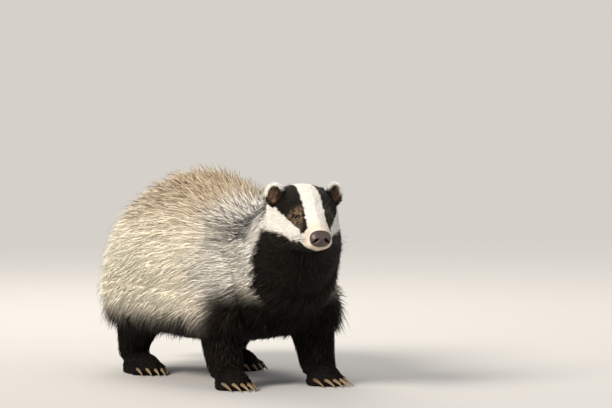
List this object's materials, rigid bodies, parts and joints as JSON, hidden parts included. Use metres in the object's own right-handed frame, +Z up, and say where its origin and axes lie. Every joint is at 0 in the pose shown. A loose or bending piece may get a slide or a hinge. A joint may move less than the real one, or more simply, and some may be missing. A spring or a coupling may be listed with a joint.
{
  "type": "european badger",
  "caption": "Life-size European badger standing still with its striped head turned a little to its right and its long grey coat lying back over broad low flanks.",
  "frame": {"origin": "middle of the bounding box's footprint, on the plane that the soles stand on", "axes": "+Z up, -Y the way the body faces, +X the animal's left side"},
  "size_m": [0.2918, 0.8336, 0.3414],
  "materials": {
    "body_coat": "long bristly grizzled guard hairs, pale at the root with a dark band and a pale tip",
    "head_fur": "short white fur with a black stripe over each eye and a black throat",
    "neck_fur": "longer fur, grizzled above and black below",
    "ear_fur": "short dark fur with a white rim",
    "leg_fur": "short black fur",
    "tail_fur": "long pale bristly fur",
    "nose_leather": "moist pebbled leather",
    "eye": "wet dark brown eye",
    "claw_horn": "smooth brownish horn"
  },
  "bodies": {
    "root": {"torso": "body_coat", "head": "head_fur", "neck": "neck_fur", "tail": "tail_fur", "nose": "nose_leather", "ear_left": "ear_fur", "ear_right": "ear_fur", "eye_left": "eye", "eye_right": "eye", "foreleg_left": "leg_fur", "foreleg_right": "leg_fur", "hindleg_left": "leg_fur", "hindleg_right": "leg_fur", "forepaw_left": "leg_fur", "forepaw_right": "leg_fur", "hindpaw_left": "leg_fur", "hindpaw_right": "leg_fur", "claw_fore_left_1": "claw_horn", "claw_fore_left_2": "claw_horn", "claw_fore_left_3": "claw_horn", "claw_fore_left_4": "claw_horn", "claw_fore_left_5": "claw_horn", "claw_fore_right_1": "claw_horn", "claw_fore_right_2": "claw_horn", "claw_fore_right_3": "claw_horn", "claw_fore_right_4": "claw_horn", "claw_fore_right_5": "claw_horn", "claw_hind_left_1": "claw_horn", "claw_hind_left_2": "claw_horn", "claw_hind_left_3": "claw_horn", "claw_hind_left_4": "claw_horn", "claw_hind_left_5": "claw_horn", "claw_hind_right_1": "claw_horn", "claw_hind_right_2": "claw_horn", "claw_hind_right_3": "claw_horn", "claw_hind_right_4": "claw_horn", "claw_hind_right_5": "claw_horn"}
  },
  "joints": []
}
